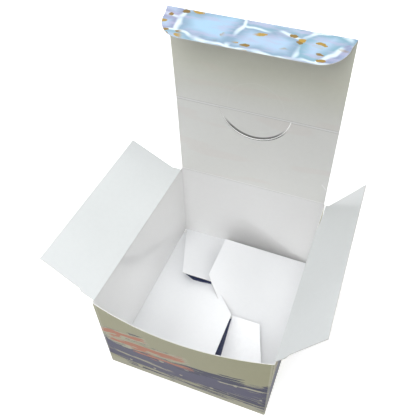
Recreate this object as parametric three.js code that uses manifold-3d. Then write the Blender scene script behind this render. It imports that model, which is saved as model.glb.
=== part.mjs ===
// Counter display carton of folding boxboard, standing open.
// Millimetres, +Z up. The origin is the middle of the front wall's bottom edge, with the back wall at +Y.

import * as THREE from 'three';
import { mergeVertices } from 'three/addons/utils/BufferGeometryUtils.js';
import Module from 'manifold-3d';

const wasm = await Module();
wasm.setup();

// Board and clearances

const board = 0.5; // thickness of the boxboard
const gap = 0.3; // running clearance between two panels at a crease or a die cut

// The tray of four walls

const boxWidth = 120; // outside, across the base
const boxDepth = 141.6; // outside, front to back
const wallHeight = 75.6; // back wall, up to the lid's crease
const creaseDrop = 0.8; // how far the other three walls end below the lid's crease
const frontBow = 8; // how far the front wall's top edge bulges forward at its middle
const bowRise = 1.15; // how the bulge grows with height: 1 is a straight slope
const leftSplay = 2.8; // how far the left wall's top leans out at the front corner
const rightSplay = 1.4;

// The folded bottom, whose four flaps tent up inside the walls

const bottomTilt = 15.1; // degrees, each flap rising from its wall
const majorReach = 77.7; // side flaps, along the board from the wall to the free edge
const majorBackEnd = 55; // along the wall, from the box's middle to the free edge's far end
const majorFrontEnd = 14.4; // the same, to the corner where the slanted edge starts
const hookReach = 62.5; // side flaps, to the hook that locks the two of them
const hookOffset = 2.4; // how far the hook passes the middle of the box
const hookNotch = 2.5; // depth of the notch behind the hook
const hiddenStart = 6; // along the wall, from the box's middle to the start of the hidden slanted edge
const majorSlant = 3; // clearance of that edge from the box's corner
const minorReach = 60.8; // front and back flaps, along the board
const minorInset = 23; // how far their free corner lies in from the wall's end
const minorRootOffset = 4; // their other edge at the wall, past the neighbour's free edge
const backFlapLap = 7; // how far the back flap's hidden corner reaches in under its neighbour

// The dust flaps on the side walls

const leftFlapRise = 31.7; // degrees above level, folded outward
const rightFlapRise = 55.3; // degrees
const flapReach = 45; // from the crease to the free edge
const leftFlapFrontReach = 43.7; // the left flap is a little narrower at its front end
const flapShoulder = 9.5; // length of the square shoulder at the crease, front end
const flapShoulderStep = 1.4; // how far the edge steps in after the shoulder
const flapStepRun = 2.8; // length over which it steps in
const flapTaperFront = 1.6; // how far the front edge leans in from step to tip
const flapRearInset = 2.6; // from the box's back corner to the flap's rear end at the crease
const flapRearShoulder = 6.5;
const flapRearStep = 3.2;
const flapTaperRear = 2.2;
const slitLength = 27; // cut along the right flap's crease, from its rear end
const slitMouth = 2.6; // width of that cut at the rear end
const slitWaist = 2.2; // and where it starts to narrow
const slitWaistAt = 16; // measured from the rear end

// The lid, its fold-back header and the tuck flap

const lidLean = 2; // degrees forward of upright
const headerLean = 1.8; // degrees, header forward of the lid's lower half
const tuckFold = 95; // degrees, tuck flap folded forward of the header
const lidSideClearance = 0.2; // lid's edge inside the side wall's inner face
const lidCrease = 70.4; // from the lid's crease on the back wall to the fold across the lid
const tuckSetback = 1.55; // shut lid: front wall's outer face to the middle of the tuck flap
const discRadius = 26.3; // round tab cut into the lid below the fold
const discRise = 3.9; // its centre above the fold
const tuckReach = 27.5;
const tuckTaper = 1.8; // how far each side of the tuck flap slants in
const tuckStraight = 8; // length of that slanted side
const tuckCornerWidth = 17.5;

// Values worked out from those above

const halfWidth = boxWidth / 2;
const halfDepth = boxDepth / 2;
const halfBoard = board / 2;
const sideHeight = wallHeight - creaseDrop;
const creaseLift = halfBoard + gap; // a crease's axis above the wall's top edge
const hingeX = halfWidth - halfBoard; // dust flap creases, at the back
const hingeY = halfDepth - halfBoard; // lid crease
const lidHalf = halfWidth - board - lidSideClearance;
const lidReach = boxDepth - halfBoard - tuckSetback; // lid crease to tuck crease
const faceOffset = halfBoard + gap / 2; // header's fold axis outside the panel's middle plane
const flapFrontEnd = -halfDepth + tuckSetback + halfBoard + 2 * gap;
const flapRearEnd = halfDepth - flapRearInset;
const tilt = THREE.MathUtils.degToRad(bottomTilt);
const flapRoot = 0.6 * board; // bottom flaps start this far inside their wall's outer face
const cornerInset = board + 2 * gap; // and this far from its ends

// Boxboard printed outside and white inside

const printedBoard = new THREE.MeshStandardMaterial({ color: 0xa8a894, roughness: 0.45, metalness: 0 });
const whiteBoard = new THREE.MeshStandardMaterial({ color: 0xe6eaeb, roughness: 0.4, metalness: 0 });
const lidBoard = new THREE.MeshStandardMaterial({ color: 0xd6d6d2, roughness: 0.4, metalness: 0 });
const tuckBoard = new THREE.MeshStandardMaterial({ color: 0xb9cfe0, roughness: 0.35, metalness: 0 });

// Closed solids

function solidOf(geometry) {
  const bare = geometry.clone();
  bare.deleteAttribute('normal');
  bare.deleteAttribute('uv');
  const merged = mergeVertices(bare, 1e-5);
  return new wasm.Manifold(new wasm.Mesh({
    numProp: 3,
    vertProperties: new Float32Array(merged.attributes.position.array),
    triVerts: new Uint32Array(merged.index.array),
  }));
}

function geometryOf(solid) {
  const mesh = solid.getMesh();
  const geometry = new THREE.BufferGeometry();
  geometry.setAttribute('position', new THREE.BufferAttribute(new Float32Array(mesh.vertProperties), 3));
  geometry.setIndex(new THREE.BufferAttribute(new Uint32Array(mesh.triVerts), 1));
  geometry.computeVertexNormals();
  return geometry;
}

function joined(geometries) {
  return geometryOf(geometries.map(solidOf).reduce((all, next) => all.add(next)));
}

function part(name, geometry, material) {
  const mesh = new THREE.Mesh(geometry, material.clone());
  mesh.name = name;
  return mesh;
}

// A flat sheet of board in the XY plane, its middle plane at z = 0
function sheet(shape) {
  const geometry = new THREE.ExtrudeGeometry(shape, { depth: board, bevelEnabled: false, curveSegments: 32 });
  return geometry.translate(0, 0, -halfBoard);
}

function polygon(points) {
  return new THREE.Shape(points.map(([x, y]) => new THREE.Vector2(x, y)));
}

// The rounded root of a panel that turns on a crease, along X
function creaseBead(from, to) {
  const bead = new THREE.CylinderGeometry(halfBoard, halfBoard, to - from, 16);
  return bead.rotateZ(Math.PI / 2).translate((from + to) / 2, 0, 0);
}

// The four walls: an outer block less an inner one, both bowed at the front and splayed

function blockOutline(halfX, halfY) {
  const frontPieces = 12;
  const outline = new THREE.Shape();
  for (let i = 0; i <= frontPieces; i++) {
    const x = halfX * (2 * i / frontPieces - 1);
    if (i === 0) outline.moveTo(x, -halfY);
    else outline.lineTo(x, -halfY);
  }
  outline.lineTo(halfX, halfY);
  outline.lineTo(-halfX, halfY);
  outline.closePath();
  return outline;
}

function shapedBlock(inset) {
  const halfX = halfWidth - inset;
  const outline = blockOutline(halfX, halfDepth - inset);
  const block = new THREE.ExtrudeGeometry(outline, { depth: sideHeight, steps: 2, bevelEnabled: false });
  const points = block.attributes.position;
  for (let i = 0; i < points.count; i++) {
    const [x, y, z] = [points.getX(i), points.getY(i), points.getZ(i)];
    const rise = z / sideHeight;
    const bulge = y < 0 ? frontBow * (1 - (x / halfX) ** 2) * rise ** bowRise : 0;
    const splay = (x < 0 ? leftSplay : rightSplay) / halfWidth * rise * (halfDepth - y) / boxDepth;
    points.setXYZ(i, x * (1 + splay), y - bulge, z);
  }
  return solidOf(block);
}

// The back wall runs on up to the lid's crease
function backWallTop() {
  const overlap = 2 * board;
  const strip = new THREE.BoxGeometry(boxWidth, board, creaseDrop + overlap);
  return strip.translate(0, hingeY, wallHeight - (creaseDrop + overlap) / 2);
}

// A bottom flap is drawn flat, with x along its wall and y inward along the board.
// Its root lies inside the wall, and it rises from the wall's bottom edge.

function bottomFlap(points, wallDistance, turn) {
  const flap = new THREE.ExtrudeGeometry(polygon(points), { depth: board, bevelEnabled: false });
  flap.rotateX(tilt);
  flap.translate(0, -wallDistance, 0);
  return flap.rotateZ(turn);
}

// Right side flap: x runs to the box's back, and the hidden edge of its front half is the slanted one
function majorOutline() {
  const wallEnd = halfDepth - cornerInset;
  const notchReach = hookReach - hookNotch;
  return [
    [wallEnd, flapRoot],
    [majorBackEnd, majorReach],
    [majorFrontEnd, majorReach],
    [-hookOffset, hookReach],
    [0, notchReach],
    [-hiddenStart, notchReach - hookNotch],
    [-wallEnd + majorSlant, flapRoot],
  ];
}

// Front flap: the free corner on the right, the other edge along the left flap's free edge
function minorOutline(lap) {
  const neighbourEdge = majorReach * Math.cos(tilt) - halfWidth;
  return [
    [neighbourEdge + minorRootOffset, flapRoot],
    [halfWidth - cornerInset, flapRoot],
    [halfWidth - minorInset, minorReach],
    [neighbourEdge - lap, minorReach],
  ];
}

function carton() {
  const quarter = Math.PI / 2;
  const walls = shapedBlock(0).subtract(shapedBlock(board));
  const pieces = [
    backWallTop(),
    bottomFlap(majorOutline(), halfWidth, quarter),
    bottomFlap(majorOutline(), halfWidth, -quarter),
    bottomFlap(minorOutline(0), halfDepth, 0),
    bottomFlap(minorOutline(backFlapLap), halfDepth, 2 * quarter),
  ];
  return geometryOf(pieces.map(solidOf).reduce((all, next) => all.add(next), walls));
}

// A dust flap, with x outward from its crease and y along the crease, towards the back

function dustFlap(side, frontReach, hasSlit) {
  const creaseEnd = hasSlit ? flapRearEnd - slitLength : flapRearEnd;
  const slit = [[slitMouth, flapRearEnd], [slitWaist, flapRearEnd - slitWaistAt], [0, creaseEnd]];
  const stepEnd = flapShoulder + flapStepRun;
  const frontTip = flapFrontEnd + flapShoulderStep + flapTaperFront;
  const rearTip = flapRearEnd - flapRearStep - flapTaperRear;
  const outline = [
    [0, flapFrontEnd],
    [flapShoulder, flapFrontEnd],
    [stepEnd, flapFrontEnd + flapShoulderStep],
    [frontReach, frontTip],
    [flapReach, rearTip],
    [flapRearShoulder, flapRearEnd - flapRearStep],
    ...(hasSlit ? slit : [[0, creaseEnd]]),
  ];
  const panel = sheet(polygon(outline.map(([x, y]) => [side * x, y])));
  const bead = creaseBead(flapFrontEnd, creaseEnd).rotateZ(Math.PI / 2);
  return joined([panel, bead]);
}

function onSideCrease(flap, side, splay, riseDegrees) {
  const crease = new THREE.Group();
  crease.position.set(side * (hingeX + splay / 2), 0, sideHeight + creaseLift);
  crease.rotation.z = side * Math.atan(splay / boxDepth);
  const turned = new THREE.Group();
  turned.rotation.y = -side * THREE.MathUtils.degToRad(riseDegrees);
  turned.add(flap);
  crease.add(turned);
  return crease;
}

// Lid pieces are drawn flat, with x to the right, y up along the lid and the inside facing +z

function lidPanel() {
  const end = lidCrease - gap / 2;
  const notchRadius = discRadius + gap;
  const dip = Math.asin((discRise + gap / 2) / notchRadius);
  const shape = new THREE.Shape();
  shape.moveTo(-lidHalf, 0);
  shape.lineTo(lidHalf, 0);
  shape.lineTo(lidHalf, end);
  shape.absarc(0, lidCrease + discRise, notchRadius, 2 * Math.PI - dip, Math.PI + dip, true);
  shape.lineTo(-lidHalf, end);
  shape.closePath();
  return joined([sheet(shape), creaseBead(-lidHalf, lidHalf)]);
}

// The header's fold axis lies just outside the lid, so that it folds flat on the lid's back
function headerPanel() {
  const start = gap / 2;
  const end = lidReach - lidCrease - creaseLift;
  const dip = Math.asin((discRise - start) / discRadius);
  const shape = new THREE.Shape();
  shape.moveTo(-lidHalf, start);
  shape.lineTo(-discRadius * Math.cos(dip), start);
  shape.absarc(0, discRise, discRadius, Math.PI + dip, 2 * Math.PI - dip, false);
  shape.lineTo(lidHalf, start);
  shape.lineTo(lidHalf, end);
  shape.lineTo(-lidHalf, end);
  shape.closePath();
  return joined([sheet(shape)]).translate(0, 0, faceOffset);
}

function tuckFlap() {
  const cornerX = lidHalf - tuckTaper - tuckCornerWidth;
  const cornerHeight = tuckReach - tuckStraight;
  const shape = new THREE.Shape();
  shape.moveTo(-lidHalf, 0);
  shape.lineTo(lidHalf, 0);
  shape.lineTo(lidHalf - tuckTaper, tuckStraight);
  shape.absellipse(cornerX, tuckStraight, tuckCornerWidth, cornerHeight, 0, Math.PI / 2, false, 0);
  shape.absellipse(-cornerX, tuckStraight, tuckCornerWidth, cornerHeight, Math.PI / 2, Math.PI, false, 0);
  shape.closePath();
  return joined([sheet(shape), creaseBead(-lidHalf, lidHalf)]);
}

function lid() {
  const upright = 90;
  const lower = new THREE.Group();
  lower.position.set(0, hingeY, wallHeight + creaseLift);
  lower.rotation.x = THREE.MathUtils.degToRad(upright + lidLean);
  lower.add(part('lid_panel', lidPanel(), lidBoard));

  const header = new THREE.Group();
  header.position.set(0, lidCrease, -faceOffset);
  header.rotation.x = THREE.MathUtils.degToRad(headerLean);
  header.add(part('header_panel', headerPanel(), lidBoard));
  lower.add(header);

  const tuck = new THREE.Group();
  tuck.position.set(0, lidReach - lidCrease, faceOffset);
  tuck.rotation.x = THREE.MathUtils.degToRad(tuckFold);
  tuck.add(part('tuck_flap', tuckFlap(), tuckBoard));
  header.add(tuck);
  return lower;
}

const standing = new THREE.Group();
standing.position.y = hingeY;
standing.add(part('carton_body', carton(), printedBoard));
const leftFlap = part('left_dust_flap', dustFlap(-1, leftFlapFrontReach, false), whiteBoard);
const rightFlap = part('right_dust_flap', dustFlap(1, flapReach, true), whiteBoard);
standing.add(onSideCrease(leftFlap, -1, leftSplay, leftFlapRise));
standing.add(onSideCrease(rightFlap, 1, rightSplay, rightFlapRise));
standing.add(lid());

const counterDisplayBox = new THREE.Group();
counterDisplayBox.add(standing);

export default counterDisplayBox;
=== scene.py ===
import math

import bmesh
import bpy
from mathutils import Euler, Matrix, Vector

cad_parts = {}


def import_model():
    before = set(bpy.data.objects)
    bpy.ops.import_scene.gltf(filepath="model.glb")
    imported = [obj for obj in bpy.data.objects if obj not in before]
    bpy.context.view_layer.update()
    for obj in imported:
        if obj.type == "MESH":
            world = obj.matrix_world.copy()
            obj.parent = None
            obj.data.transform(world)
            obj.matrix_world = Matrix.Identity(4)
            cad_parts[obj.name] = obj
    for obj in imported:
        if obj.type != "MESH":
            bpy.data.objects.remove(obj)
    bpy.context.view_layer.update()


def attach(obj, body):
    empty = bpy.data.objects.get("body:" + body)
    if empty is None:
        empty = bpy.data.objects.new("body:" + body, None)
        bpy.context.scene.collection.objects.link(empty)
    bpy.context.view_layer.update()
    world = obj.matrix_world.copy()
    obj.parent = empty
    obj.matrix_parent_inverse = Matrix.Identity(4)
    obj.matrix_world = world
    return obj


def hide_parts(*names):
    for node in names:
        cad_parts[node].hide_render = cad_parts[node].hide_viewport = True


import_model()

MM = 0.001
QUARTER = math.pi / 2

# Board and the tray of four walls, in millimetres, as in the part's source
BOARD = 0.5
HALF_BOARD = BOARD / 2
GAP = 0.3
WIDTH = 120
DEPTH = 141.6
SIDE_HEIGHT = 74.8
BACK_HEIGHT = 75.6
CORNER_RADIUS = 0.7
CREASE_LIFT = HALF_BOARD + GAP
FRONT_BOW = 8
BOW_RISE = 1.15
LEFT_SPLAY = 2.8
RIGHT_SPLAY = 1.4
HINGE_X = WIDTH / 2 - HALF_BOARD
HINGE_Y = DEPTH - HALF_BOARD
FOLD_RADIUS = 0.28

# Bottom flaps: the side pair is the major pair, the front and back pair the minor one
BOTTOM_TILT = math.radians(15.1)
MAJOR_REACH = 77.7
MINOR_REACH = 60.8
BOTTOM_ROOT = 0.3
WALL_END_X = WIDTH / 2 - 1.1
WALL_END_Y = DEPTH / 2 - 1.1
TAB_CLEARANCE = 0.05

# Dust flaps
FLAP_REACH = 45
LEFT_FLAP_FRONT_REACH = 43.7
LEFT_FLAP_RISE = 31.7
RIGHT_FLAP_RISE = 55.3
SLIT = 27

# Lid
LID_HALF = 59.3
LID_CREASE = 70.4
LID_REACH = 139.8
LID_LEAN = 2
HEADER_LEAN = 1.8
TUCK_FOLD = 95
FACE_OFFSET = HALF_BOARD + GAP / 2
DISC_RADIUS = 26.3
DISC_RISE = 3.9

# Where each panel lies on the sheet of flat print
BOTTOM_PRINT = (0, 200)
LEFT_FLAP_PRINT = (330, 160)
RIGHT_FLAP_PRINT = (140, 160)
LID_PRINT = (60, 200)
HEADER_PRINT = (60, 270)
TUCK_PRINT = (60, 340)

INSIDE, OUTSIDE, CUT = 0, 1, 2


# Node groups and materials

FIBRE = 0.00005
ROUGH_FIBRE = 0.00035


def socket(group, name, kind, direction, default=None):
    made = group.interface.new_socket(name=name, in_out=direction, socket_type=kind)
    if default is not None:
        made.default_value = default


def place(tree, kind, settings=None, **values):
    """A node with its settings and its input values, a value being a number or another node's output."""
    node = tree.nodes.new(kind)
    for key, value in (settings or {}).items():
        setattr(node, key, value)
    for key, value in values.items():
        numbered = key[0] == "i" and key[1:].isdigit()
        target = node.inputs[int(key[1:]) if numbered else key.replace("_", " ")]
        if isinstance(value, bpy.types.NodeSocket):
            tree.links.new(value, target)
        else:
            target.default_value = value
    return node


def maths(tree, operation, a, b=0.0, c=0.0, clamp=False):
    node = place(tree, "ShaderNodeMath", {"operation": operation, "use_clamp": clamp}, i0=a, i1=b, i2=c)
    return node.outputs[0]


def both(tree, a, b):
    return maths(tree, "MULTIPLY", a, b)


def distance_to(tree, value, at):
    return maths(tree, "ABSOLUTE", maths(tree, "SUBTRACT", value, at))


def blend(tree, factor, a, b):
    node = place(tree, "ShaderNodeMix", {"data_type": "RGBA"}, i0=factor, i6=a, i7=b)
    return node.outputs[2]


def step(tree, value, low, high):
    """0 at low and 1 at high, smooth between."""
    node = place(tree, "ShaderNodeMapRange", {"interpolation_type": "SMOOTHSTEP"},
                 Value=value, From_Min=low, From_Max=high, To_Min=0.0, To_Max=1.0)
    return node.outputs[0]


def noise(tree, vector, scale, detail=2.0, roughness=0.5):
    node = place(tree, "ShaderNodeTexNoise", Vector=vector, Scale=scale, Detail=detail, Roughness=roughness)
    return node.outputs[0]


def cells(tree, vector, scale, randomness, feature="F1"):
    return place(tree, "ShaderNodeTexVoronoi", {"feature": feature, "voronoi_dimensions": "2D"},
                 Vector=vector, Scale=scale, Randomness=randomness)


def stretched(tree, vector, scale, offset=(0.0, 0.0, 0.0), turn=0.0):
    node = place(tree, "ShaderNodeMapping", {"vector_type": "POINT"},
                 Vector=vector, Scale=scale, Location=offset, Rotation=(0.0, 0.0, turn))
    return node.outputs[0]


def turned_about(tree, vector, centre, turn):
    """The same place, measured from a centre along turned axes."""
    moved = stretched(tree, vector, (1, 1, 1), (-centre[0], -centre[1], 0.0))
    return stretched(tree, moved, (1, 1, 1), turn=turn)


def flat_map(tree):
    """The piece's own flat print map, in metres."""
    node = tree.nodes.new("ShaderNodeUVMap")
    node.uv_map = "flat"
    return node.outputs[0]


def board_grain():
    """Fibre and mottle of coated board: a tone mask and a height."""
    group = bpy.data.node_groups.new("board_grain", "ShaderNodeTree")
    socket(group, "Vector", "NodeSocketVector", "INPUT")
    socket(group, "Tone", "NodeSocketFloat", "OUTPUT")
    socket(group, "Height", "NodeSocketFloat", "OUTPUT")
    enter = group.nodes.new("NodeGroupInput")
    leave = group.nodes.new("NodeGroupOutput")
    fibre = noise(group, enter.outputs[0], 1400.0, 3.0, 0.6)
    mottle = noise(group, enter.outputs[0], 320.0, 2.0)
    cloud = noise(group, enter.outputs[0], 22.0, 1.0)
    tone = maths(group, "MULTIPLY_ADD", mottle, 0.55, maths(group, "MULTIPLY", cloud, 0.45))
    height = maths(group, "MULTIPLY_ADD", mottle, 0.5, maths(group, "MULTIPLY", fibre, 0.35))
    group.links.new(tone, leave.inputs[0])
    group.links.new(height, leave.inputs[1])
    return group


def dry_brush():
    """A band of dry-brush strokes along x about y = 0, with ragged ends and bristle streaks."""
    group = bpy.data.node_groups.new("dry_brush", "ShaderNodeTree")
    socket(group, "Vector", "NodeSocketVector", "INPUT")
    socket(group, "Half width", "NodeSocketFloat", "INPUT", 0.01)
    socket(group, "Half length", "NodeSocketFloat", "INPUT", 0.06)
    socket(group, "Dryness", "NodeSocketFloat", "INPUT", 0.4)
    socket(group, "Mask", "NodeSocketFloat", "OUTPUT")
    enter = group.nodes.new("NodeGroupInput")
    leave = group.nodes.new("NodeGroupOutput")
    vector, half_width, half_length, dryness = (enter.outputs[i] for i in range(4))
    split = place(group, "ShaderNodeSeparateXYZ", Vector=vector)
    bristles = noise(group, stretched(group, vector, (16.0, 520.0, 1.0)), 1.0, 3.0, 0.7)
    fingers = noise(group, stretched(group, vector, (34.0, 300.0, 1.0)), 1.0, 2.0, 0.6)
    ragged = maths(group, "MULTIPLY_ADD", fingers, 0.014, maths(group, "ABSOLUTE", split.outputs[1]))
    across = maths(group, "DIVIDE", maths(group, "SUBTRACT", ragged, 0.007), half_width)
    along = maths(group, "DIVIDE", maths(group, "ABSOLUTE", split.outputs[0]), half_length)
    frayed = maths(group, "MULTIPLY_ADD", bristles, 1.3, maths(group, "SUBTRACT", along, 0.65))
    body = maths(group, "SUBTRACT", 1.0, step(group, maths(group, "MAXIMUM", across, frayed), 0.95, 1.0))
    edge = maths(group, "MAXIMUM", maths(group, "POWER", across, 3.0), maths(group, "POWER", along, 4.0))
    paleness = maths(group, "MULTIPLY_ADD", edge, 0.22, dryness)
    streaks = step(group, maths(group, "SUBTRACT", bristles, paleness), -0.01, 0.02)
    group.links.new(maths(group, "MULTIPLY", body, streaks, clamp=True), leave.inputs[0])
    return group


GRAIN = board_grain()
BRUSH = dry_brush()


def material(name):
    made = bpy.data.materials.new(name)
    made.use_nodes = True
    made.node_tree.nodes.clear()
    tree = made.node_tree
    out = tree.nodes.new("ShaderNodeOutputMaterial")
    shader = tree.nodes.new("ShaderNodeBsdfPrincipled")
    tree.links.new(shader.outputs[0], out.inputs[0])
    return made, tree, shader


def grained(tree):
    where = tree.nodes.new("ShaderNodeTexCoord").outputs["Object"]
    return place(tree, "ShaderNodeGroup", {"node_tree": GRAIN}, Vector=where)


def relief(tree, shader, height, depth):
    bump = place(tree, "ShaderNodeBump", Height=height, Strength=1.0, Distance=depth)
    tree.links.new(bump.outputs[0], shader.inputs["Normal"])


def satin(tree, shader, grain, colour, roughness, fibre=FIBRE):
    """Colour, gloss and fibre of a smooth board face."""
    tree.links.new(colour, shader.inputs["Base Color"])
    gloss = maths(tree, "MULTIPLY_ADD", grain.outputs["Tone"], 0.12, roughness)
    tree.links.new(gloss, shader.inputs["Roughness"])
    relief(tree, shader, grain.outputs["Height"], fibre)


def coated(tree, shader, grain, colour, fibre=FIBRE):
    satin(tree, shader, grain, colour, 0.30, fibre)
    shader.inputs["Coat Weight"].default_value = 0.8
    shader.inputs["Coat Roughness"].default_value = 0.14


def white_board(name, dull, bright, fibre=FIBRE):
    """The coated inside of the board: white with a low gloss, and fibre that may stand out more."""
    made, tree, shader = material(name)
    grain = grained(tree)
    coated(tree, shader, grain, blend(tree, grain.outputs["Tone"], (*dull, 1), (*bright, 1)), fibre)
    return made


def fold_line(tree, along, at, colour):
    """A creased fold across the board: a pale ridge of rubbed board with a painted highlight, beside a thin
    dark hollow of painted shade.
    """
    off = distance_to(tree, along, at)
    # Painted shade: a thin dark line in the hollow of the crease.
    crease_shade = maths(tree, "MULTIPLY", step(tree, off, 0.0013, 0.0005), 0.28)
    colour = blend(tree, crease_shade, colour, (0.30, 0.30, 0.29, 1))
    # Painted highlight on rubbed board: the pale ridge along the fold.
    return blend(tree, step(tree, off, 0.0005, 0.0002), colour, (0.93, 0.93, 0.92, 1))


def lid_inside():
    """The lid's white inside, where the print shows through: warm grey, with painted shade deepening it
    towards the tuck.
    """
    cross_crease = 0.2703
    root_crease = 0.2006
    disc_centre = (0.0604, 0.2749)
    ring_radius = 0.0206
    crescent_inner, crescent_outer = 0.0258, 0.0275
    nick = (0.1168, 0.2172)

    made, tree, shader = material("lid_inside")
    grain = grained(tree)
    flat = flat_map(tree)
    split = place(tree, "ShaderNodeSeparateXYZ", Vector=flat)
    across, along = split.outputs[0], split.outputs[1]
    low = blend(tree, grain.outputs["Tone"], (0.80, 0.80, 0.77, 1), (0.86, 0.86, 0.83, 1))
    # Painted shade: the header is darker and warmer towards the tuck, partly from print showing through and
    # partly from the tuck flap's shade painted in.
    high = blend(tree, grain.outputs["Tone"], (0.64, 0.645, 0.545, 1), (0.69, 0.695, 0.60, 1))
    colour = blend(tree, step(tree, along, 0.262, 0.312), low, high)
    ghost = noise(tree, stretched(tree, flat, (18.0, 70.0, 1.0), turn=0.45), 1.0, 1.0)
    faint = maths(tree, "MULTIPLY", step(tree, ghost, 0.58, 0.68), 0.10)
    colour = blend(tree, faint, colour, (0.78, 0.60, 0.55, 1))

    colour = fold_line(tree, along, cross_crease, colour)
    # A pale line along the lid's root crease: rubbed board and a painted highlight.
    root_crease_rub_and_highlight = step(tree, along, root_crease + 0.0006, root_crease)
    colour = blend(tree, root_crease_rub_and_highlight, colour, (0.95, 0.95, 0.94, 1))

    # The pressed ring on the round tab and the shadow under the tab's free edge
    dx = maths(tree, "SUBTRACT", across, disc_centre[0])
    dy = maths(tree, "SUBTRACT", along, disc_centre[1])
    reach = maths(tree, "SQRT", maths(tree, "ADD", both(tree, dx, dx), both(tree, dy, dy)))
    ring = maths(tree, "MULTIPLY", step(tree, distance_to(tree, reach, ring_radius), 0.0008, 0.0002), 0.07)
    colour = blend(tree, ring, colour, (0.95, 0.95, 0.93, 1))
    slanted = place(tree, "ShaderNodeSeparateXYZ", Vector=turned_about(tree, flat, nick, 0.85))
    nick_x, nick_y = (maths(tree, "ABSOLUTE", slanted.outputs[i]) for i in (0, 1))
    scuff = both(tree, step(tree, nick_x, 0.0034, 0.0030), step(tree, nick_y, 0.0006, 0.0002))
    colour = blend(tree, scuff, colour, (0.97, 0.97, 0.96, 1))
    crescent = both(tree, step(tree, reach, crescent_inner - 0.0009, crescent_inner),
                    step(tree, along, 0.263, 0.254))
    on_tab = maths(tree, "LESS_THAN", reach, crescent_outer)
    colour = blend(tree, both(tree, crescent, on_tab), colour, (0.16, 0.16, 0.15, 1))
    coated(tree, shader, grain, colour)
    return made


def cut_board():
    """The cut edge of the board, a little duller than its face."""
    made, tree, shader = material("cut_board")
    grain = grained(tree)
    colour = blend(tree, grain.outputs["Tone"], (0.66, 0.655, 0.63, 1), (0.80, 0.80, 0.78, 1))
    tree.links.new(colour, shader.inputs["Base Color"])
    shader.inputs["Roughness"].default_value = 0.75
    relief(tree, shader, grain.outputs["Height"], 2 * FIBRE)
    return made


def printed_board():
    """Satin print: khaki ground, slate brush strokes low down, coral strokes and pale dots."""
    made, tree, shader = material("printed_board")
    grain = grained(tree)
    flat = flat_map(tree)
    split = place(tree, "ShaderNodeSeparateXYZ", Vector=flat)
    around, height = split.outputs[0], split.outputs[1]

    colour = blend(tree, grain.outputs["Tone"], (0.385, 0.375, 0.225, 1), (0.455, 0.445, 0.285, 1))
    colour = blend(tree, step(tree, height, 0.012, 0.005), colour, (0.56, 0.55, 0.42, 1))

    slate = (0.062, 0.060, 0.125, 1)
    navy = (0.010, 0.014, 0.055, 1)
    brown = (0.13, 0.085, 0.035, 1)
    coral = (0.52, 0.19, 0.10, 1)
    cream = (0.52, 0.50, 0.36, 1)
    # Centre on the flat print, slope in degrees, half width, half length, dryness, ink
    strokes = [
        ((0.184, 0.062), 1, 0.0190, 0.070, 0.38, brown),
        ((0.402, 0.062), -3, 0.0190, 0.058, 0.43, brown),
        ((0.052, 0.0245), 1, 0.0150, 0.078, 0.36, slate),
        ((0.088, 0.0290), -3, 0.0120, 0.044, 0.40, slate),
        ((0.190, 0.024), 0, 0.0190, 0.080, 0.30, slate),
        ((0.322, 0.024), 0, 0.0160, 0.078, 0.33, slate),
        ((0.455, 0.024), 0, 0.0170, 0.080, 0.33, slate),
        ((0.106, 0.0335), -2, 0.0016, 0.022, 0.36, cream),
        ((0.030, 0.0200), 3, 0.0015, 0.026, 0.40, cream),
        ((0.040, 0.0090), 1, 0.0020, 0.036, 0.40, cream),
        ((0.078, 0.0390), -4, 0.0062, 0.030, 0.40, navy),
        ((0.104, 0.0360), -4, 0.0030, 0.020, 0.40, navy),
        ((0.022, 0.0340), 2, 0.0034, 0.026, 0.44, navy),
        ((0.058, 0.0075), 1, 0.0030, 0.052, 0.44, navy),
        ((0.094, 0.0140), 0, 0.0040, 0.028, 0.46, navy),
        ((0.190, 0.027), 0, 0.0180, 0.078, 0.30, navy),
        ((0.320, 0.036), 2, 0.0060, 0.045, 0.44, navy),
        ((0.452, 0.030), -2, 0.0100, 0.060, 0.42, navy),
        ((0.016, 0.0500), -20, 0.0054, 0.024, 0.34, navy),
        ((0.034, 0.0430), -12, 0.0062, 0.034, 0.36, navy),
        ((0.016, 0.0500), -20, 0.0044, 0.024, 0.26, cream),
        ((0.034, 0.0430), -12, 0.0052, 0.034, 0.26, cream),
        ((0.016, 0.0500), -20, 0.0030, 0.023, 0.34, coral),
        ((0.034, 0.0430), -12, 0.0038, 0.033, 0.34, coral),
        ((0.046, 0.0350), -6, 0.0026, 0.026, 0.38, coral),
        ((0.234, 0.052), -22, 0.0034, 0.026, 0.38, coral),
        ((0.243, 0.044), -9, 0.0038, 0.030, 0.36, coral),
    ]
    for centre, slope, half_width, half_length, dryness, ink in strokes:
        along = turned_about(tree, flat, centre, math.radians(slope))
        stroke = place(tree, "ShaderNodeGroup", {"node_tree": BRUSH}, Vector=along, Half_width=half_width,
                       Half_length=half_length, Dryness=dryness)
        colour = blend(tree, stroke.outputs[0], colour, ink)

    spots = cells(tree, stretched(tree, flat, (1.0, 1.3, 1.0), (0.013, 0.004, 0.0)), 50.0, 0.9)
    chance = place(tree, "ShaderNodeSeparateColor", Color=spots.outputs["Color"]).outputs[0]
    within = maths(tree, "SUBTRACT", maths(tree, "MULTIPLY", chance, 0.11), spots.outputs["Distance"])
    dots = both(tree, step(tree, within, 0.0, 0.012), step(tree, height, 0.036, 0.031))
    colour = blend(tree, dots, colour, cream)

    # Painted highlight: a pale strip down each folded corner of the walls, where the rounded corner catches
    # the light.
    for corner in (0, WIDTH, WIDTH + DEPTH, 2 * WIDTH + DEPTH, 2 * (WIDTH + DEPTH)):
        off = distance_to(tree, around, corner * MM)
        paleness = maths(tree, "MULTIPLY", step(tree, off, 0.0008, 0.0003), 0.5)
        colour = blend(tree, paleness, colour, (0.62, 0.61, 0.50, 1))
    satin(tree, shader, grain, colour, 0.38)
    shader.inputs["Specular IOR Level"].default_value = 0.3
    return made


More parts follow.
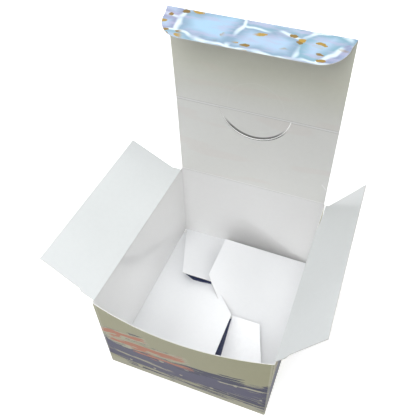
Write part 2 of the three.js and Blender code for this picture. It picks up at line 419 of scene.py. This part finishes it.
def navy_print():
    """The underside of the bottom flaps, printed a plain dark blue with dry streaks."""
    made, tree, shader = material("navy_print")
    grain = grained(tree)
    where = tree.nodes.new("ShaderNodeTexCoord").outputs["Object"]
    streaks = noise(tree, stretched(tree, where, (700.0, 40.0, 40.0)), 1.0, 3.0, 0.6)
    dry = maths(tree, "MULTIPLY", step(tree, streaks, 0.62, 0.70), 0.5)
    colour = blend(tree, grain.outputs["Tone"], (0.035, 0.045, 0.11, 1), (0.06, 0.075, 0.16, 1))
    colour = blend(tree, dry, colour, (0.20, 0.21, 0.27, 1))
    satin(tree, shader, grain, colour, 0.36)
    return made


def pebble_print():
    """Satin print of the lid: overlapping pale pebbles with white rims and small gold flecks."""
    pebble_scale = 33.0
    made, tree, shader = material("pebble_print")
    grain = grained(tree)
    flat = flat_map(tree)
    wobble = place(tree, "ShaderNodeTexNoise", Vector=flat, Scale=42.0, Detail=2.0)
    bent = place(tree, "ShaderNodeVectorMath", {"operation": "MULTIPLY_ADD"},
                 i0=wobble.outputs["Color"], i1=(0.018, 0.018, 0.0), i2=flat).outputs[0]

    laid = stretched(tree, bent, (1, 1.45, 1))
    pebbles = cells(tree, laid, pebble_scale, 0.9)
    to_edge = cells(tree, laid, pebble_scale, 0.9, "DISTANCE_TO_EDGE").outputs["Distance"]
    tint = place(tree, "ShaderNodeSeparateColor", Color=pebbles.outputs["Color"])
    dull = blend(tree, tint.outputs[0], (0.25, 0.28, 0.44, 1), (0.20, 0.38, 0.48, 1))
    body = blend(tree, tint.outputs[1], (0.36, 0.56, 0.73, 1), (0.46, 0.52, 0.67, 1))
    colour = blend(tree, step(tree, to_edge, 0.36, 0.05), body, dull)
    sweep = noise(tree, stretched(tree, flat, (50.0, 240.0, 1.0), turn=0.5), 1.0, 3.0, 0.6)
    swept = maths(tree, "MULTIPLY", step(tree, sweep, 0.46, 0.64), 0.55)
    colour = blend(tree, swept, colour, (0.46, 0.44, 0.62, 1))
    soft = noise(tree, flat, 60.0, 1.0)
    rim = both(tree, step(tree, to_edge, 0.085, 0.01), step(tree, soft, 0.34, 0.54))
    colour = blend(tree, maths(tree, "MULTIPLY", rim, 0.85), colour, (0.78, 0.90, 0.95, 1))

    flecks = cells(tree, stretched(tree, bent, (1.0, 2.1, 1.0), turn=0.35), 88.0, 1.0)
    chance = place(tree, "ShaderNodeSeparateColor", Color=flecks.outputs["Color"])
    clusters = noise(tree, stretched(tree, flat, (1, 1, 1), (0.4, 0.1, 0)), 24.0, 1.0)
    frayed = maths(tree, "MULTIPLY_ADD", noise(tree, flat, 520.0, 2.0), 0.30, flecks.outputs["Distance"])
    chosen = both(tree, step(tree, frayed, 0.44, 0.40), step(tree, chance.outputs[1], 0.42, 0.46))
    gold = both(tree, chosen, step(tree, clusters, 0.47, 0.51))
    ink = blend(tree, chance.outputs[2], (0.17, 0.10, 0.012, 1), (0.46, 0.29, 0.035, 1))
    satin(tree, shader, grain, blend(tree, gold, colour, ink), 0.28)
    return made


WHITE = white_board("white_board", (0.84, 0.838, 0.832), (0.89, 0.888, 0.882))
FLOOR_WHITE = white_board("floor_flap_white", (0.815, 0.83, 0.85), (0.865, 0.877, 0.893))
ROUGH_WHITE = white_board("front_flap_white", (0.76, 0.775, 0.80), (0.90, 0.91, 0.925), ROUGH_FIBRE)
# Painted shade: the dust flaps take a greyer copy of the same white board, darker than the walls for the
# light they get.
SHADED_FLAP_WHITE = white_board("flap_white", (0.70, 0.73, 0.735), (0.75, 0.78, 0.785))
LID_WHITE = lid_inside()
EDGE = cut_board()
PRINT = printed_board()
NAVY = navy_print()
PEBBLES = pebble_print()


# Panels of board

def finish_piece(bm, name, body, nodes, outside=PRINT, inside=WHITE, cut_face=EDGE):
    """Drawn from the front wall's outer face, and moved to the part's origin in that board's middle."""
    mesh = bpy.data.meshes.new(name)
    for edge in bm.edges:
        edge.smooth = len(edge.link_faces) == 2 and edge.calc_face_angle() < math.radians(30)
    bmesh.ops.translate(bm, vec=(0, -HALF_BOARD, 0), verts=bm.verts)
    bmesh.ops.scale(bm, vec=(MM, MM, MM), verts=bm.verts)
    bm.to_mesh(mesh)
    bm.free()
    piece = bpy.data.objects.new(name, mesh)
    bpy.context.scene.collection.objects.link(piece)
    for finish in (inside, outside, cut_face):
        mesh.materials.append(finish)
    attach(piece, body)
    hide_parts(*nodes)


def lay_flat_map(bm, offset):
    """The piece's print is laid out flat, in metres, before the piece is folded into place."""
    layer = bm.loops.layers.uv.new("flat")
    for face in bm.faces:
        for loop in face.loops:
            loop[layer].uv = ((loop.vert.co.x + offset[0]) * MM, (loop.vert.co.y + offset[1]) * MM)


def sort_faces(bm):
    """Inside of the board up, print below, and the cut edges round it."""
    for face in bm.faces:
        if abs(face.normal.z) < 0.4:
            face.material_index = CUT
        else:
            face.material_index = INSIDE if face.normal.z > 0 else OUTSIDE


def raised_verts(made):
    return [item for item in made["geom"] if isinstance(item, bmesh.types.BMVert)]


def board_panel(outline, offset, low=-HALF_BOARD):
    """A flat panel of board with its lower face at height low."""
    bm = bmesh.new()
    face = bm.faces.new([bm.verts.new((x, y, low)) for x, y in outline])
    bm.normal_update()
    if face.normal.z < 0:
        bmesh.ops.reverse_faces(bm, faces=[face])
    raised = bmesh.ops.extrude_face_region(bm, geom=[face], use_keep_orig=True)
    bmesh.ops.translate(bm, vec=(0, 0, BOARD), verts=raised_verts(raised))
    bmesh.ops.recalc_face_normals(bm, faces=bm.faces)
    sort_faces(bm)
    lay_flat_map(bm, offset)
    return bm


def add_fold(bm, start, end, along_x=True):
    """The rounded fold at a panel's root."""
    made = bmesh.ops.create_cone(bm, cap_ends=True, segments=16, radius1=FOLD_RADIUS, radius2=FOLD_RADIUS,
                                 depth=end - start)
    turn = Matrix.Rotation(QUARTER, 3, "Y" if along_x else "X")
    bmesh.ops.rotate(bm, cent=(0, 0, 0), matrix=turn, verts=made["verts"])
    middle = (start + end) / 2
    shift = (middle, 0, 0) if along_x else (0, middle, 0)
    bmesh.ops.translate(bm, vec=shift, verts=made["verts"])
    bm.normal_update()
    layer = bm.loops.layers.uv["flat"]
    for face in {f for v in made["verts"] for f in v.link_faces}:
        face.material_index = INSIDE if face.normal.z > -0.1 else OUTSIDE
        face.smooth = len(face.verts) == 4
        for loop in face.loops:
            loop[layer].uv = (loop.vert.co.x * MM, loop.vert.co.y * MM)


def arc(centre, radius_x, radius_y, start, end, pieces):
    """Points of an ellipse's arc, angles in radians."""
    turns = [start + (end - start) * i / pieces for i in range(pieces + 1)]
    return [(centre[0] + radius_x * math.cos(t), centre[1] + radius_y * math.sin(t)) for t in turns]


def cut(bm, point, normal):
    bmesh.ops.bisect_plane(bm, geom=list(bm.verts) + list(bm.edges) + list(bm.faces), dist=1e-6,
                           plane_co=point, plane_no=normal)


# Tray

def shape_wall(bm):
    """Bows the front wall and splays the side walls, growing from the base up."""
    for vert in bm.verts:
        x, y, z = vert.co
        rise = min(z / SIDE_HEIGHT, 1.02)
        is_front = y < BOARD + GAP
        bulge = FRONT_BOW * (1 - (x / (WIDTH / 2)) ** 2) * rise ** BOW_RISE if is_front else 0
        side_splay = LEFT_SPLAY if x < 0 else RIGHT_SPLAY
        splay = 1 + side_splay / (WIDTH / 2) * rise * (DEPTH - y) / DEPTH
        vert.co = (x * splay, y - bulge, z)


def lay_round(face, layer):
    """Print laid out along the four walls from the front left corner: front, right, back, left."""
    normal = face.normal
    for loop in face.loops:
        x, y, z = loop.vert.co
        if abs(normal.y) > abs(normal.x):
            along = x + WIDTH / 2 if normal.y < 0 else WIDTH * 1.5 + DEPTH - x
        else:
            along = WIDTH + y if normal.x > 0 else WIDTH * 2 + DEPTH * 2 - y
        loop[layer].uv = (along * MM, z * MM)


def tray_walls():
    columns, rows = 40, 12
    top = SIDE_HEIGHT + GAP / 2
    bm = bmesh.new()
    corners = [(-WIDTH / 2, 0), (WIDTH / 2, 0), (WIDTH / 2, DEPTH), (-WIDTH / 2, DEPTH)]
    bm.faces.new([bm.verts.new((x, y, 0)) for x, y in corners])
    bmesh.ops.bevel(bm, geom=list(bm.verts), affect="VERTICES", offset=CORNER_RADIUS, segments=4,
                    profile=0.5, material=-1)
    raised = bmesh.ops.extrude_edge_only(bm, edges=list(bm.edges))
    bmesh.ops.translate(bm, vec=(0, 0, top), verts=raised_verts(raised))
    base = [f for f in bm.faces if abs(f.normal.z) > 0.5 or len(f.verts) > 4]
    bmesh.ops.delete(bm, geom=base, context="FACES")
    for i in range(1, columns):
        cut(bm, (WIDTH * (i / columns - 0.5), 0, 0), (1, 0, 0))
    for i in range(1, rows):
        cut(bm, (0, 0, top * i / rows), (0, 0, 1))

    # The back wall stands a little higher than the sides
    cut(bm, (0, DEPTH - 2, 0), (0, 1, 0))
    for vert in bm.verts:
        if vert.co.z > top - 0.01 and vert.co.y > DEPTH - 1.9:
            vert.co.z += BACK_HEIGHT - SIDE_HEIGHT

    shape_wall(bm)
    bm.normal_update()
    bmesh.ops.recalc_face_normals(bm, faces=bm.faces)
    outer = set(bm.faces)
    layer = bm.loops.layers.uv.new("flat")
    for face in outer:
        face.material_index = OUTSIDE
        face.smooth = True
        lay_round(face, layer)
    bmesh.ops.solidify(bm, geom=list(outer), thickness=BOARD)
    bm.normal_update()
    centre = Vector((0, DEPTH / 2, 0))
    for face in bm.faces:
        away = face.calc_center_median() - centre
        if abs(face.normal.z) > 0.7:
            face.material_index = CUT
            face.smooth = False
        elif Vector((away.x, away.y, 0)).dot(face.normal) < 0:
            face.material_index = INSIDE
            face.smooth = True
    return bm


def bottom_flap(outline, wall_distance, turn, low=0.0):
    """A flap drawn from its crease at y = 0, tilted up and set against the wall it hangs on."""
    bm = board_panel(outline, BOTTOM_PRINT, low)
    tilt = Matrix.Rotation(BOTTOM_TILT, 4, "X")
    spin = Matrix.Translation((0, DEPTH / 2, 0)) @ Matrix.Rotation(turn, 4, "Z")
    bmesh.ops.transform(bm, matrix=spin @ Matrix.Translation((0, -wall_distance, 0)) @ tilt, verts=bm.verts)
    return bm


# The free edge of a major flap, seen from a minor flap's middle line
MAJOR_EDGE = MAJOR_REACH * math.cos(BOTTOM_TILT) - WIDTH / 2
MAJOR = [(WALL_END_Y, BOTTOM_ROOT), (55, MAJOR_REACH), (14.4, MAJOR_REACH), (-2.4, 62.5), (0, 60),
         (-6, 57.5), (-WALL_END_Y + 3, BOTTOM_ROOT)]
FRONT_MINOR = [(MAJOR_EDGE + 4, BOTTOM_ROOT), (WALL_END_X, BOTTOM_ROOT), (37, MINOR_REACH),
               (MAJOR_EDGE, MINOR_REACH)]
BACK_MINOR = FRONT_MINOR[:3] + [(MAJOR_EDGE - 7, MINOR_REACH)]

finish_piece(tray_walls(), "tray_walls", "carton", ["carton_body"])
for name, outline, distance, turn, face in (
        ("bottom_flap_right", MAJOR, WIDTH / 2, QUARTER, FLOOR_WHITE),
        ("bottom_flap_left", MAJOR, WIDTH / 2, -QUARTER, FLOOR_WHITE),
        ("bottom_flap_front", FRONT_MINOR, DEPTH / 2, 0, ROUGH_WHITE),
        ("bottom_flap_back", BACK_MINOR, DEPTH / 2, 2 * QUARTER, FLOOR_WHITE)):
    finish_piece(bottom_flap(outline, distance, turn), name, "carton", ["carton_body"],
                 outside=NAVY, inside=face)

# The front and back flaps' glue tabs lie folded under them with their dark print up, so dark print shows
# beside their free edges; they are placed and sized so that this dark print stands in for the shade in
# those gaps, a painted shadow made of dark board.
BACK_SHADE_TAB = [(-19, 22), (-13, 33), (-11.8, 42), (-11.2, 50.5), (-14.5, 49.6), (-29, 34), (-38, 24)]
FRONT_SHADE_TAB = [(22, 3), (22, 58), (12, 58), (6, 3)]
for name, outline, distance, turn, low in (
        ("glue_tab_back_shade", BACK_SHADE_TAB, WIDTH / 2, -QUARTER, BOARD + TAB_CLEARANCE),
        ("glue_tab_front_shade", FRONT_SHADE_TAB, DEPTH / 2, 0, -BOARD - TAB_CLEARANCE)):
    finish_piece(bottom_flap(outline, distance, turn, low), name, "carton", ["carton_body"],
                 outside=FLOOR_WHITE, inside=NAVY, cut_face=NAVY)


# Dust flaps

def dust_flap(side, splay, rise_degrees, outline_of, offset, slit=0):
    """A flap drawn from its crease at x = 0, turned with its splayed wall and raised from level."""
    front = -DEPTH / 2 + 1.55 + HALF_BOARD + 2 * GAP
    rear = DEPTH / 2 - 2.6
    bm = board_panel([(side * x, y) for x, y in outline_of(front, rear)], offset)
    add_fold(bm, front, rear - slit, along_x=False)
    crease = Matrix.Translation((side * (HINGE_X + splay / 2), DEPTH / 2 - HALF_BOARD,
                                 SIDE_HEIGHT + CREASE_LIFT))
    turned = (Matrix.Rotation(side * math.atan(splay / DEPTH), 4, "Z")
              @ Matrix.Rotation(-side * math.radians(rise_degrees), 4, "Y"))
    bmesh.ops.transform(bm, matrix=crease @ turned, verts=bm.verts)
    return bm


def free_edge(front, rear, front_reach):
    """From the crease's front end round the free edge to the flap's rear edge."""
    return [(0, front), (9.5, front), (12.3, front + 1.4), (front_reach, front + 3),
            (FLAP_REACH, rear - 5.4), (6.5, rear - 3.2)]


def left_outline(front, rear):
    return free_edge(front, rear, LEFT_FLAP_FRONT_REACH) + [(1.6, rear), (0, rear)]


def right_outline(front, rear):
    """The right flap is slit free of its crease near the back wall."""
    return free_edge(front, rear, FLAP_REACH) + [(2.6, rear), (2.2, rear - 16), (0, rear - SLIT)]


finish_piece(dust_flap(-1, LEFT_SPLAY, LEFT_FLAP_RISE, left_outline, LEFT_FLAP_PRINT),
             "left_flap_board", "left_flap", ["left_dust_flap"], inside=SHADED_FLAP_WHITE)
finish_piece(dust_flap(1, RIGHT_SPLAY, RIGHT_FLAP_RISE, right_outline, RIGHT_FLAP_PRINT, SLIT),
             "right_flap_board", "right_flap", ["right_dust_flap"], inside=SHADED_FLAP_WHITE)


# Lid

def leaned(degrees):
    return Matrix.Rotation(math.radians(degrees), 4, "X")


LOWER = Matrix.Translation((0, HINGE_Y, BACK_HEIGHT + CREASE_LIFT)) @ leaned(90 + LID_LEAN)
HEADER = LOWER @ Matrix.Translation((0, LID_CREASE, -FACE_OFFSET)) @ leaned(HEADER_LEAN)
TUCK = HEADER @ Matrix.Translation((0, LID_REACH - LID_CREASE, FACE_OFFSET)) @ leaned(TUCK_FOLD)


def lid_panel():
    end = LID_CREASE - GAP / 4
    radius = DISC_RADIUS + GAP
    dip = math.asin((DISC_RISE + GAP / 4) / radius)
    notch = arc((0, LID_CREASE + DISC_RISE), radius, radius, 2 * math.pi - dip, math.pi + dip, 40)
    outline = [(-LID_HALF, 0), (LID_HALF, 0), (LID_HALF, end)] + notch + [(-LID_HALF, end)]
    bm = board_panel(outline, LID_PRINT)
    add_fold(bm, -LID_HALF, LID_HALF)
    bmesh.ops.transform(bm, matrix=LOWER, verts=bm.verts)
    return bm


def header_panel():
    start = GAP / 4
    end = LID_REACH - LID_CREASE - FOLD_RADIUS - 0.05
    dip = math.asin((DISC_RISE - start) / DISC_RADIUS)
    tab = arc((0, DISC_RISE), DISC_RADIUS, DISC_RADIUS, math.pi + dip, 2 * math.pi - dip, 40)
    outline = [(-LID_HALF, start)] + tab + [(LID_HALF, start), (LID_HALF, end), (-LID_HALF, end)]
    bm = board_panel(outline, HEADER_PRINT)
    bmesh.ops.transform(bm, matrix=HEADER @ Matrix.Translation((0, 0, FACE_OFFSET)), verts=bm.verts)
    return bm


def tuck_panel():
    taper, straight, corner, reach = 1.8, 8, 17.5, 27.5
    corner_x = LID_HALF - taper - corner
    right = arc((corner_x, straight), corner, reach - straight, 0, QUARTER, 16)
    left = arc((-corner_x, straight), corner, reach - straight, QUARTER, math.pi, 16)
    bm = board_panel([(-LID_HALF, 0), (LID_HALF, 0)] + right + left, TUCK_PRINT)
    add_fold(bm, -LID_HALF, LID_HALF)
    bmesh.ops.transform(bm, matrix=TUCK, verts=bm.verts)
    return bm


finish_piece(lid_panel(), "lid_board", "lid", ["lid_panel"], PEBBLES, LID_WHITE)
finish_piece(header_panel(), "header_board", "header", ["header_panel"], PEBBLES, LID_WHITE)
finish_piece(tuck_panel(), "tuck_board", "tuck", ["tuck_flap"], PEBBLES, LID_WHITE)


# Studio

LAMP_AIM = (0, 0.07, 0.05)


def seen_directly(tree):
    """1 for what the camera, a reflection or a view through glass sees, 0 for the light cast on things."""
    paths = tree.nodes.new("ShaderNodeLightPath")
    mirrored = maths(tree, "MAXIMUM", paths.outputs["Is Glossy Ray"], paths.outputs["Is Transmission Ray"])
    return maths(tree, "MAXIMUM", paths.outputs["Is Camera Ray"], mirrored)


def floor():
    """A white floor that keeps its shadow, with no glow of its own under the box."""
    foot_half_x, foot_half_y = 0.059, 0.070
    bm = bmesh.new()
    bmesh.ops.create_grid(bm, x_segments=1, y_segments=1, size=3)
    mesh = bpy.data.meshes.new("floor")
    bm.to_mesh(mesh)
    bm.free()
    piece = bpy.data.objects.new("floor", mesh)
    bpy.context.scene.collection.objects.link(piece)
    made, tree, shader = material("floor_white")
    shader.inputs["Roughness"].default_value = 0.9
    shader.inputs["Specular IOR Level"].default_value = 0.1
    shader.inputs["Emission Color"].default_value = (1, 1, 1, 1)
    seen = seen_directly(tree)
    tone = blend(tree, seen, (0.45, 0.45, 0.45, 1), (0.9, 0.9, 0.9, 1))
    tree.links.new(tone, shader.inputs["Base Color"])

    position = tree.nodes.new("ShaderNodeTexCoord").outputs["Object"]
    where = place(tree, "ShaderNodeSeparateXYZ", Vector=position)
    beside = maths(tree, "GREATER_THAN", maths(tree, "ABSOLUTE", where.outputs[0]), foot_half_x)
    before = maths(tree, "GREATER_THAN", distance_to(tree, where.outputs[1], DEPTH / 2 * MM), foot_half_y)
    open_floor = maths(tree, "MAXIMUM", beside, before)
    away = place(tree, "ShaderNodeVectorMath", {"operation": "LENGTH"}, i0=position).outputs["Value"]
    strength = maths(tree, "MULTIPLY_ADD", step(tree, away, 0.3, 1.1), 0.5, 0.5)
    tree.links.new(both(tree, both(tree, seen, open_floor), strength), shader.inputs["Emission Strength"])
    mesh.materials.append(made)


def world():
    made = bpy.data.worlds.new("studio")
    made.use_nodes = True
    bpy.context.scene.world = made
    tree = made.node_tree
    tree.nodes.clear()
    air = place(tree, "ShaderNodeBackground", Color=(0.97, 0.98, 1.0, 1), Strength=0.15)
    white = place(tree, "ShaderNodeBackground", Color=(1, 1, 1, 1), Strength=1.0)
    mix = place(tree, "ShaderNodeMixShader", i0=seen_directly(tree), i1=air.outputs[0], i2=white.outputs[0])
    out = tree.nodes.new("ShaderNodeOutputWorld")
    tree.links.new(mix.outputs[0], out.inputs[0])


def lamp(name, at, size, power):
    light = bpy.data.lights.new(name, "AREA")
    light.shape = "DISK"
    light.size = size
    light.energy = power
    piece = bpy.data.objects.new(name, light)
    piece.location = at
    piece.rotation_euler = (Vector(LAMP_AIM) - Vector(at)).to_track_quat("-Z", "Y").to_euler()
    bpy.context.scene.collection.objects.link(piece)


def camera():
    """The view of the photograph, fitted to the corners of the tray, lid and flaps."""
    lens = bpy.data.cameras.new("camera")
    lens.lens = 45.163
    lens.sensor_width = 36
    lens.shift_x = -0.0281
    lens.shift_y = 0.0084
    lens.clip_start = 0.01
    piece = bpy.data.objects.new("camera", lens)
    piece.location = (0.080713, -0.149965, 0.363554)
    piece.rotation_euler = Euler([math.radians(a) for a in (43.3931, -0.2738, 20.4814)])
    bpy.context.scene.collection.objects.link(piece)
    bpy.context.scene.camera = piece


camera()
floor()
world()
lamp("overhead", (0, 0.07, 0.95), 0.8, 3.4)
lamp("back_left", (-0.5, 0.47, 0.85), 0.16, 0.95)
lamp("front", (0, -0.62, 0.86), 0.5, 4.5)
lamp("left", (-0.75, 0.07, 0.75), 0.5, 2.05)
lamp("right", (0.75, 0.07, 0.75), 0.5, 2.5)
bpy.context.scene.view_settings.view_transform = "Standard"
